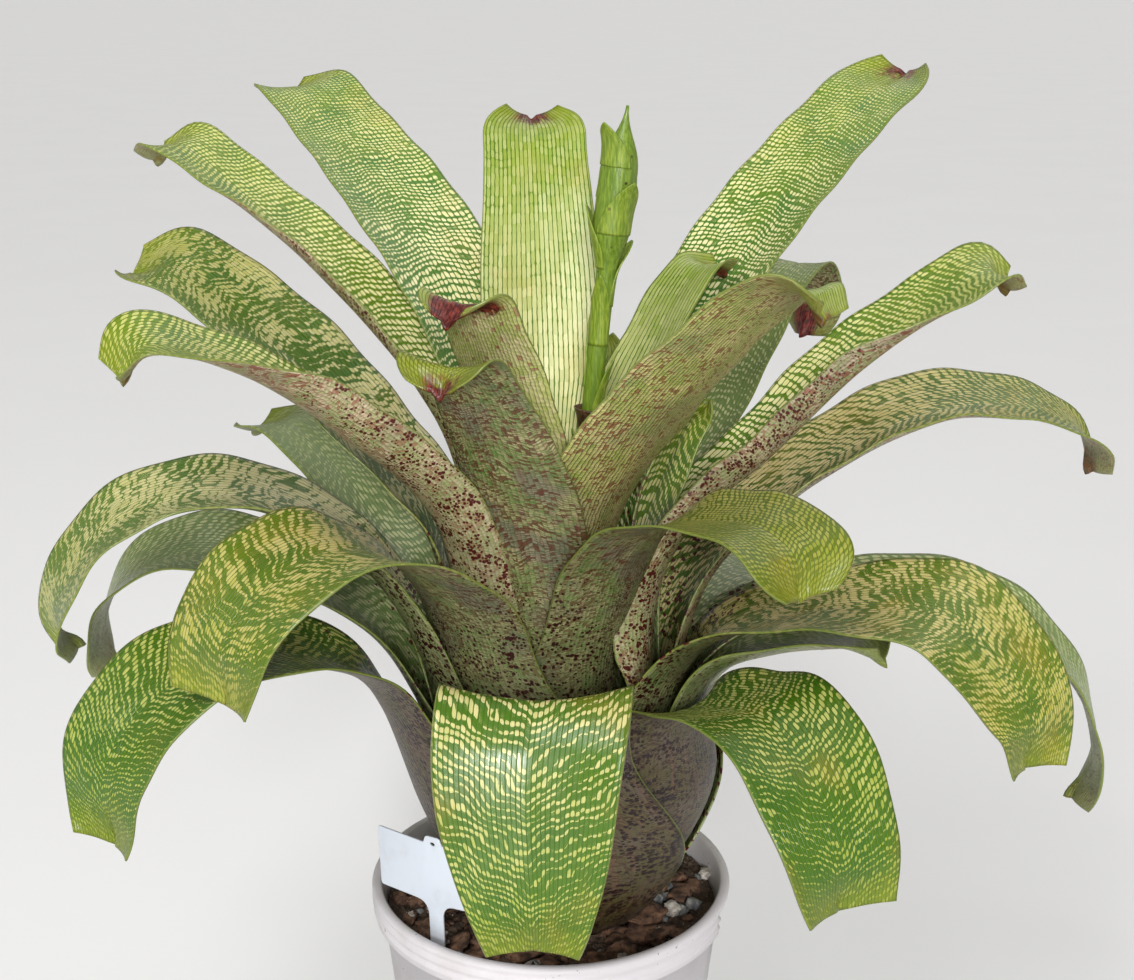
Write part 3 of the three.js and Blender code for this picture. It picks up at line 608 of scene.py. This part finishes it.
def leaf_cells(paint, column, row, vee, wander, jump, ragged, shrink):
    """Splits the leaf into cells between its long veins and its wandering crossbars, which bend at the
    midline. Gives back how near a point is to its vein and to its crossbar, from 0 to 1, three random
    numbers of the cell, and the slow sway of the crossbars."""
    grain = paint.node("Attribute", 1, attribute_name="grain")
    u, s, seed = (paint.node("SeparateXYZ", i, (0, grain)) for i in range(3))
    sway = paint.node("TexNoise", 0, ("Vector", grain), ("Scale", 42.0), ("Detail", 2.0))
    flutter = paint.node("TexNoise", 0, ("Vector", grain), ("Scale", 260.0), ("Detail", 1.0))
    x = paint.math("MULTIPLY_ADD", flutter, ragged, paint.math("DIVIDE", u, column))
    line = paint.math("FLOOR", x)
    chance = paint.node("TexWhiteNoise", 0, ("Vector", paint.join(line, seed, 0.5)))
    y = paint.math("MULTIPLY", s, paint.math("MULTIPLY_ADD", s, shrink, 1 - 0.85 * shrink))
    y = paint.math("MULTIPLY_ADD", paint.math("ABSOLUTE", u), vee, y)
    y = paint.math("DIVIDE", paint.math("MULTIPLY_ADD", sway, wander, y), row)
    y = paint.math("MULTIPLY_ADD", chance, jump, y)
    y = paint.math("MULTIPLY_ADD", flutter, 0.35, y)
    dice = paint.node("TexWhiteNoise", 1, ("Vector", paint.join(line, paint.math("FLOOR", y), seed)))
    rolls = [paint.node("SeparateXYZ", i, (0, dice)) for i in range(3)]
    near = []
    for place in (x, y):
        from_middle = paint.math("SUBTRACT", paint.math("FRACT", place), 0.5)
        near.append(paint.math("MULTIPLY", paint.math("ABSOLUTE", from_middle), 2.0))
    return near[0], near[1], rolls, sway


def fibres(paint):
    """Fine lengthwise streaks, each with its own random shade from 0 to 1."""
    grain = paint.node("Attribute", 1, attribute_name="grain")
    u, s = (paint.node("SeparateXYZ", i, (0, grain)) for i in range(2))
    thin = paint.math("FLOOR", paint.math("DIVIDE", u, 0.00055))
    along = paint.math("FLOOR", paint.math("DIVIDE", s, 0.021))
    return paint.node("TexWhiteNoise", 0, ("Vector", paint.join(thin, along, 0.3)))


def spotted(paint, base, reach, scale, dense_to, clear_from, spot_colour):
    """Dark spots, crowded where reach is low and thinning out as it grows."""
    grain = paint.node("Attribute", 1, attribute_name="grain")
    drawn = paint.node("Mapping", 0, ("Vector", grain), ("Scale", (0.8, 1.0, 1.0)))
    blots = paint.node("TexVoronoi", 0, ("Vector", drawn), ("Scale", scale), ("Randomness", 1.0))
    dice = paint.node("TexVoronoi", 1, ("Vector", drawn), ("Scale", scale), ("Randomness", 1.0))
    dice = paint.between(paint.node("SeparateXYZ", 0, (0, dice)), 0.45, 1.35)
    ragged = paint.math("SUBTRACT", blots, 0.25)
    ragged = paint.math("MULTIPLY_ADD", paint.noise(grain, 760, 2, 0.6), 0.5, ragged)
    crowd = paint.math("POWER", paint.span(reach, clear_from, dense_to), 0.6)
    patchy = paint.span(paint.noise(grain, 80, 2), 0.34, 0.7)
    size = paint.math("MULTIPLY", crowd, dice)
    size = paint.math("MULTIPLY", size, paint.between(patchy, 0.32, 0.62))
    mask = paint.span(paint.math("SUBTRACT", size, ragged), 0.0, 0.08)
    return paint.colour(mask, base, spot_colour)


def tip_colours(paint, base, edge, t, stain):
    """The tip turns yellow-green, with a maroon blotch by its awn, and the margin is a fine line."""
    grain = paint.node("Attribute", 1, attribute_name="grain")
    marks = paint.node("Attribute", 1, attribute_name="marks")
    ragged = paint.math("MULTIPLY_ADD", paint.noise(grain, 260, 3, 0.6), 0.06, t)
    yellow = paint.math("MULTIPLY", paint.span(ragged, 0.96, 1.04), 0.6)
    base = paint.colour(yellow, base, srgb(128, 136, 26))
    size = paint.node("SeparateXYZ", 1, (0, marks))
    ragged = paint.math("MULTIPLY_ADD", size, 0.05, ragged)
    inner = paint.math("MULTIPLY_ADD", size, -0.4, edge)
    blotch = paint.span(ragged, stain + 0.05, stain + 0.075)
    blotch = paint.math("MULTIPLY", blotch, paint.span(inner, 0.3, -0.1))
    blotch = paint.math("MULTIPLY", blotch, size)
    mottle = paint.span(paint.noise(grain, 300, 3, 0.6), 0.4, 0.66)
    maroon = paint.colour(mottle, srgb(66, 12, 10), srgb(128, 50, 38))
    base = paint.colour(blotch, base, maroon)
    rim = paint.math("MULTIPLY", paint.span(edge, 0.98, 0.995), 0.85)
    return paint.colour(rim, base, srgb(112, 122, 54))


def upper_face(name, cell, bend, wide, tall, spread, bands, kept, lines, colours):
    """The upper side of a blade: pale panes with round corners in a green net, which is dark at tone 0
    and yellow-green at 1. Each row of panes is bent, and its panes jump up or down a little."""
    dark, light, window, green_window, vein_colour = (srgb(*c) for c in colours)
    paint = Paint("leaf_" + name)
    edge, t, tone = leaf_place(paint)
    x, y, rolls, sway = leaf_cells(paint, *cell, *bend, 0.22, 1)
    grain = paint.node("Attribute", 1, attribute_name="grain")
    marks = paint.node("Attribute", 1, attribute_name="marks")
    drawn = paint.node("Mapping", 0, ("Vector", grain), ("Scale", (1 / bands, bands, 1.0)))
    patch = paint.span(paint.noise(drawn, 44, 4, 0.65), 0.34, 0.66)
    ripe = paint.span(t, 0.55, 1.0)
    green = paint.colour(paint.math("MULTIPLY_ADD", ripe, 0.7, tone, clamp=True), dark, light)
    green = paint.colour(paint.math("MULTIPLY", paint.span(sway, 0.45, 0.7), 0.5), green, dark)
    streaks = fibres(paint)
    green = paint.colour(paint.math("MULTIPLY", streaks, 0.22), green, vein_colour)
    pane = paint.math("MULTIPLY_ADD", rolls[1], 0.35, paint.math("MULTIPLY", ripe, 0.7), clamp=True)
    pane = paint.colour(pane, window, green_window)
    chance = paint.math("SUBTRACT", rolls[0], 0.5)
    height = paint.math("MULTIPLY_ADD", chance, spread, paint.between(patch, *tall))
    height = paint.math("MULTIPLY_ADD", paint.node("SeparateXYZ", 0, (0, marks)), 0.12, height)
    height = paint.math("MAXIMUM", paint.math("MULTIPLY_ADD", ripe, -0.12, height), 0.1)
    breadth = paint.math("MULTIPLY_ADD", height, 0.22, wide)
    across = paint.math("POWER", paint.math("DIVIDE", x, breadth), 2.8)
    along = paint.math("POWER", paint.math("DIVIDE", y, height), 2.8)
    mask = paint.span(paint.math("ADD", across, along), 1.25, 0.8)
    mask = paint.math("MULTIPLY", mask, paint.math("LESS_THAN", rolls[2], kept))
    base = paint.colour(mask, green, pane)
    vein = paint.span(x, 0.75, 1.0)
    base = paint.colour(paint.math("MULTIPLY", vein, lines), base, vein_colour)
    golden = paint.math("MULTIPLY", paint.span(paint.noise(grain, 24, 3, 0.6), 0.5, 0.75), 0.3)
    golden = paint.math("MULTIPLY", golden, paint.node("SeparateXYZ", 2, (0, marks)))
    base = paint.colour(golden, base, srgb(172, 132, 30))
    base = tip_colours(paint, base, edge, t, 1.0)
    low = paint.math("MULTIPLY", paint.span(t, 0.36, 0.24), 0.7)
    base = paint.colour(low, base, srgb(140, 150, 100))
    reach = paint.math("MULTIPLY_ADD", edge, -0.1, t)
    base = spotted(paint, base, reach, 330.0, 0.25, 0.52, srgb(78, 20, 26))
    relief = paint.math("MULTIPLY_ADD", streaks, 0.4, paint.math("MULTIPLY", mask, 0.3))
    relief = paint.math("MULTIPLY_ADD", vein, -0.5, relief)
    rough = paint.math("ADD", paint.between(sway, 0.2, 0.28), paint.math("MULTIPLY", streaks, 0.14))
    return paint.finish(base, rough, relief, 0.0003, Specular_IOR_Level=0.5)


def under_face(name, cell, often, lines, bars, grains, spots, colours):
    """The matte back of a blade: pale cells between dark crossbars and fine lines, some cells red-brown,
    in drifts, with pink streaks along it and dark spots low down."""
    ground, green, dash, sheath, spot_colour = (srgb(*c) for c in colours)
    paint = Paint("leaf_" + name)
    edge, t = leaf_place(paint)[:2]
    grain = paint.node("Attribute", 1, attribute_name="grain")
    x, y, rolls, sway = leaf_cells(paint, *cell, 0.25, 0.018, 0.6, 0.9, 0)
    dusk = srgb(56, 54, 36)
    drift = paint.span(paint.noise(grain, 60, 3, 0.6), 0.38, 0.62)
    leafy = paint.math("MULTIPLY", paint.span(drift, 1.0, 0.0), 0.4)
    leafy = paint.math("MULTIPLY_ADD", rolls[2], 0.6, leafy)
    base = paint.colour(leafy, ground, green)
    grey = paint.math("MULTIPLY", paint.span(paint.noise(grain, 36, 2), 0.46, 0.64), bars * 0.55)
    base = paint.colour(grey, base, srgb(108, 94, 98))
    drawn = paint.node("Mapping", 0, ("Vector", grain), ("Scale", (1.0, 0.1, 1.0)))
    long = paint.span(paint.noise(drawn, 340, 3, 0.6), 0.54, 0.68)
    base = paint.colour(paint.math("MULTIPLY", long, often), base, srgb(140, 80, 80))
    odds = paint.math("MULTIPLY", paint.between(drift, 0.4, 1), often)
    dashed = paint.math("LESS_THAN", rolls[0], odds)
    base = paint.colour(paint.math("MULTIPLY", dashed, 0.88), base, dash)
    bar = paint.math("MULTIPLY", paint.span(y, 0.3, 0.85), paint.between(rolls[1], 0.3, 1.0))
    base = paint.colour(paint.math("MULTIPLY", bar, paint.between(drift, bars * 0.7, bars)), base, dusk)
    base = paint.colour(paint.math("MULTIPLY", paint.span(x, 0.55, 0.95), lines), base, dusk)
    low = paint.math("MULTIPLY", paint.span(t, spots[1], spots[0]), 0.42)
    base = paint.colour(low, base, sheath)
    reach = paint.math("MULTIPLY_ADD", edge, -0.1, t)
    base = spotted(paint, base, reach, grains, *spots, spot_colour)
    base = tip_colours(paint, base, edge, t, 0.975)
    relief = paint.math("ADD", x, paint.math("MULTIPLY", y, 0.7))
    return paint.finish(base, paint.between(sway, 0.36, 0.52), relief, 0.0002, Specular_IOR_Level=0.4)


# Each row is an upper face: its cell (column, row), its bend (vee, wander, jump), how wide its panes are,
# how tall they are at least and at most, the spread of that, how far they lie in bands, the share of them
# that shows, how strong the veins are, and its colours (dark net, light net, pane, green pane, vein).
UPPER_FACES = {
    "netted": ((0.0030, 0.0035), (0.3, 0.013, 0.2), 0.66, (0.44, 0.74), 0.24, 1.0, 0.97, 0.6,
               ((46, 104, 24), (104, 132, 20), (234, 226, 172), (188, 192, 92), (62, 92, 14))),
    "beaded": ((0.0029, 0.0034), (0.32, 0.015, 0.22), 0.66, (0.38, 0.7), 0.26, 1.0, 0.96, 0.5,
               ((36, 106, 38), (102, 132, 22), (234, 228, 178), (188, 192, 92), (58, 92, 18))),
    "fine": ((0.0025, 0.0028), (0.36, 0.012, 0.26), 0.66, (0.22, 0.62), 0.36, 1.4, 0.93, 0.35,
             ((48, 94, 12), (70, 106, 10), (198, 196, 116), (138, 154, 48), (54, 86, 12))),
    "bold": ((0.0025, 0.0031), (0.36, 0.014, 0.3), 0.72, (0.26, 0.68), 0.44, 1.5, 0.93, 0.4,
             ((50, 94, 14), (72, 108, 10), (212, 202, 142), (148, 162, 58), (60, 90, 14))),
    "tender": ((0.0026, 0.0026), (0.4, 0.012, 0.25), 0.7, (0.5, 0.82), 0.25, 1.0, 0.97, 0.6,
               ((74, 96, 22), (92, 108, 14), (180, 166, 96), (136, 144, 44), (64, 82, 14))),
    "banded": ((0.0024, 0.0040), (0.3, 0.015, 0.5), 0.74, (0.14, 1.04), 0.5, 1.2, 0.95, 0.7,
               ((46, 96, 30), (84, 116, 20), (214, 206, 156), (172, 172, 90), (100, 104, 50))),
    "barred": ((0.0023, 0.0038), (0.36, 0.015, 0.45), 0.72, (0.16, 0.92), 0.45, 1.2, 0.95, 0.7,
               ((50, 94, 18), (82, 112, 12), (210, 192, 134), (162, 164, 66), (98, 98, 30))),
    "chevron": ((0.0024, 0.0046), (0.7, 0.015, 0.34), 0.7, (0.34, 0.86), 0.4, 1.0, 0.97, 0.7,
                ((42, 94, 20), (80, 114, 16), (222, 206, 150), (182, 178, 88), (98, 98, 34))),
    "striped": ((0.0027, 0.0050), (0.1, 0.008, 0.3), 0.5, (1.1, 1.8), 0.2, 1.0, 2.0, 0.6,
                ((80, 112, 18), (96, 128, 14), (216, 212, 156), (134, 156, 48), (70, 100, 16))),
    # This face is a greyed, low-contrast copy of the net, given to the leaves that sit in shade among the
    # others: painted shade.
    "shaded": ((0.0027, 0.0037), (0.3, 0.016, 0.35), 0.62, (0.36, 0.6), 0.3, 1.0, 0.94, 0.5,
             ((108, 132, 74), (126, 144, 66), (192, 194, 144), (162, 174, 104), (86, 110, 54))),
}

# Each row is an under face: its cell, how often a cell is red-brown, how strong its lines and crossbars
# are, the scale of its spots, where they are dense and where they end, and its colours (pale cell,
# green cell, red-brown cell, sheath, spot).
UNDER_FACES = {
    "pale": ((0.0022, 0.0024), 0.08, 0.6, 0.3, 500.0, (0.1, 0.3),
             ((214, 202, 150), (160, 172, 86), (150, 92, 74), (140, 146, 96), (80, 30, 30))),
    "tan": ((0.0021, 0.0013), 0.22, 0.8, 0.45, 500.0, (0.2, 0.45),
            ((204, 190, 128), (136, 154, 66), (124, 58, 38), (140, 146, 96), (90, 30, 26))),
    "grey": ((0.0022, 0.0013), 0.12, 0.4, 0.7, 500.0, (0.42, 0.74),
             ((182, 184, 136), (104, 130, 64), (96, 38, 28), (136, 142, 92), (56, 16, 14))),
    "pink": ((0.0022, 0.0016), 0.3, 0.4, 0.5, 620.0, (0.5, 0.88),
             ((214, 188, 162), (142, 156, 92), (140, 56, 52), (142, 146, 98), (74, 20, 16))),
    "speckled": ((0.0025, 0.0011), 0.38, 0.35, 0.95, 520.0, (0.32, 0.64),
                 ((178, 168, 122), (84, 120, 50), (92, 34, 24), (126, 136, 88), (52, 12, 10))),
    "purple": ((0.0025, 0.0011), 0.42, 0.3, 0.95, 520.0, (0.36, 0.66),
               ((98, 90, 52), (62, 76, 32), (44, 16, 16), (78, 58, 34), (28, 8, 8))),
}

FACES = {name: upper_face(name, *row) for name, row in UPPER_FACES.items()}
FACES |= {name: under_face(name, *row) for name, row in UNDER_FACES.items()}

for number, (azimuth, width, blade, form, upper, under, tone) in enumerate(LEAVES):
    name = f"leaf_{number + 1:02d}"
    sheet = build_leaf(number, azimuth, width, blade, form, tone)
    leaf = finish_mesh(name + "_blade", sheet, [FACES[upper], FACES[under]], "leaf", name)
    thick = leaf.modifiers.new("thickness", "SOLIDIFY")
    thick.thickness = LEAF_THICKNESS * MM
    thick.offset = -1
    thick.material_offset = 1
    thick.use_even_offset = False

# Flower spike
# A young scape, still green, with clasping pointed bracts and a fat head that hasn't opened. It stands
# in the middle of the tank and leans a little to the right. A dark brown cup clasps it where it comes
# out of the leaves: painted shade for the deep, brownish gap where they part round it.
SPIKE_START = Vector((PLANT_X, 0, 177.6))
SPIKE_BEND = Vector((PLANT_X, 0, 380))
SPIKE_END = Vector((39, 5, 592))
SPIKE_LENGTH = 418
SPIKE_SIDES = 40
BRACT_COUNT = 9
BRACT_THICKNESS = 0.8


def spike_at(share):
    """The point on the spike's curved axis at a share of its length, and how the spike leans there."""
    point = SPIKE_START.lerp(SPIKE_BEND, share).lerp(SPIKE_BEND.lerp(SPIKE_END, share), share)
    along = (SPIKE_BEND - SPIKE_START).lerp(SPIKE_END - SPIKE_BEND, share).normalized()
    return point, Vector((0, 0, 1)).rotation_difference(along)


def spike_radius(share):
    """A scape that thins upwards, and a fatter head that ends in a point."""
    scape = mix(6.2, 5, smooth(0, 0.8, share))
    head = 4.6 * smooth(0.8, 0.86, share) * (1 - smooth(0.92, 1, share))
    return (scape + head) * (1 - 0.85 * smooth(0.93, 1, share) ** 1.5)


def spike_skin(name, low, high, flecks):
    paint = Paint(name)
    spot = paint.position()
    drawn = paint.node("Mapping", 0, ("Vector", spot), ("Scale", (1.0, 1.0, 0.12)))
    fibre = paint.noise(drawn, 900, 3, 0.6)
    base = paint.colour(paint.span(fibre, 0.35, 0.7), low, high)
    dots = paint.node("TexVoronoi", 0, ("Vector", spot), ("Scale", 150.0))
    drift = paint.span(paint.noise(spot, 30, 2), 0.4, 0.5)
    mask = paint.math("MULTIPLY", paint.span(dots, 0.16, 0.1), drift)
    base = paint.colour(paint.math("MULTIPLY", mask, flecks), base, srgb(60, 52, 24))
    return paint.finish(base, 0.34, fibre, 0.00025, Specular_IOR_Level=0.5)


def build_scape():
    """Spun upright, with the share of its length as a percentage for height, then laid along its axis."""
    bm = bmesh.new()
    steps = 120
    outline = [(spike_radius(i / steps), i / steps * 100) for i in range(steps + 1)]
    profile = [(0, 0)] + outline + [(0, 100)]
    spin_profile(bm, profile, SPIKE_SIDES)
    for vert in bm.verts:
        share = min(max(vert.co.z / MM / 100, 0), 1)
        point, lean = spike_at(share)
        vert.co = (point + lean @ Vector((vert.co.x / MM, vert.co.y / MM, 0))) * MM
    return bm


def clasp(bm, start, azimuth, tall, wrap, point_wrap, gap, flare):
    """One bract round the spike, from the share start of its length. It reaches round by the angle wrap
    to each side at its foot and by point_wrap at its top, stands off by the gap, and flares out."""
    for vert in bmesh.ops.create_grid(bm, x_segments=24, y_segments=24, size=1)["verts"]:
        t = (vert.co.y + 1) / 2
        share = min(start + t * tall / SPIKE_LENGTH, 1)
        radius = spike_radius(min(share, 0.93)) + gap + flare * t ** 3
        angle = azimuth + mix(wrap, point_wrap, t ** 1.6) * vert.co.x
        point, lean = spike_at(share)
        vert.co = (point + lean @ Vector((math.cos(angle), math.sin(angle), 0)) * radius) * MM


def build_bracts():
    """The green bracts stand in a spiral, shorter and closer together towards the head."""
    bm = bmesh.new()
    for k in range(BRACT_COUNT):
        share = k / (BRACT_COUNT - 1)
        start = mix(0.5, 0.93, share ** 0.7)
        clasp(bm, start, math.radians(200 + 137.5 * k), mix(46, 20, share), 1.5, 0.04, 0.5, 4.5)
    return bm


# A dark brown cup round the scape where it comes out of the leaves: painted shade for the gap there.
def build_shade_cup():
    bm = bmesh.new()
    clasp(bm, 0.598, 0, 16, 3.4, 3.0, 1.3, 3)
    return bm


scape_green = spike_skin("scape_green", srgb(88, 114, 26), srgb(122, 146, 48), 1.0)
bract_green = spike_skin("bract_green", srgb(96, 122, 26), srgb(142, 158, 58), 0.6)
# The cup's dark browns are painted shade.
shade_cup_brown = spike_skin("shade_cup_dark", srgb(44, 30, 22), srgb(104, 76, 52), 0.6)
finish_mesh("spike_scape", build_scape(), [scape_green], "spike", "flower_spike")
bracts = finish_mesh("spike_bracts", build_bracts(), [bract_green], "spike")
shade_cup = finish_mesh("spike_shade_cup", build_shade_cup(), [shade_cup_brown], "spike")
for piece in (bracts, shade_cup):
    shell = piece.modifiers.new("thickness", "SOLIDIFY")
    shell.thickness = BRACT_THICKNESS * MM
    shell.offset = -1

# Floor, lights and camera
# A plain pale floor under a pale sky. A soft key stands at the upper left. Three far lights shine on
# everything alike: one from the front, a weak low one, and a weak wide one from behind. The camera has
# the photograph's viewpoint.
FLOOR_HALF = 70
LIT_POINT = Vector((0, 0, 0.35))
CAMERA_PLACE = (0.009, -0.85, 0.652)
CAMERA_DOWN = 16.8


def floor_material():
    paint = Paint("floor_pale")
    patches = paint.noise(paint.position(), 3)
    return paint.finish(paint.colour(patches, (0.84, 0.84, 0.84), (0.88, 0.88, 0.88)), 0.8)


def build_floor():
    bm = bmesh.new()
    bmesh.ops.create_grid(bm, x_segments=1, y_segments=1, size=FLOOR_HALF)
    mesh = bpy.data.meshes.new("floor")
    bm.to_mesh(mesh)
    bm.free()
    mesh.materials.append(floor_material())
    plane = bpy.data.objects.new("floor", mesh)
    bpy.context.scene.collection.objects.link(plane)


def add_light(name, kind, place, power):
    data = bpy.data.lights.new(name, kind)
    data.energy = power
    light = bpy.data.objects.new(name, data)
    light.location = place
    light.rotation_euler = (LIT_POINT - Vector(place)).to_track_quat("-Z", "Y").to_euler()
    bpy.context.scene.collection.objects.link(light)
    return data


build_floor()
add_light("key", "AREA", (-0.7, -1.4, 2.0), 22).size = 0.9
add_light("front", "SUN", (0.1, -2.4, 1.2), 2.0).angle = 0.2
add_light("low", "SUN", (0.1, -2.0, 0.45), 0.6).angle = 0.2
add_light("back", "SUN", (1.0, 2.0, 3.4), 0.8).angle = 1.2

world = bpy.data.worlds.new("studio")
world.use_nodes = True
world.node_tree.nodes["Background"].inputs["Color"].default_value = (1, 0.98, 0.95, 1)
world.node_tree.nodes["Background"].inputs["Strength"].default_value = 0.36
bpy.context.scene.world = world
bpy.context.scene.view_settings.view_transform = "Standard"

view = bpy.data.cameras.new("camera")
view.lens = 53.8
view.sensor_width = 36
camera = bpy.data.objects.new("camera", view)
camera.location = CAMERA_PLACE
camera.rotation_euler = (math.radians(90 - CAMERA_DOWN), 0, 0)
bpy.context.scene.collection.objects.link(camera)
bpy.context.scene.camera = camera
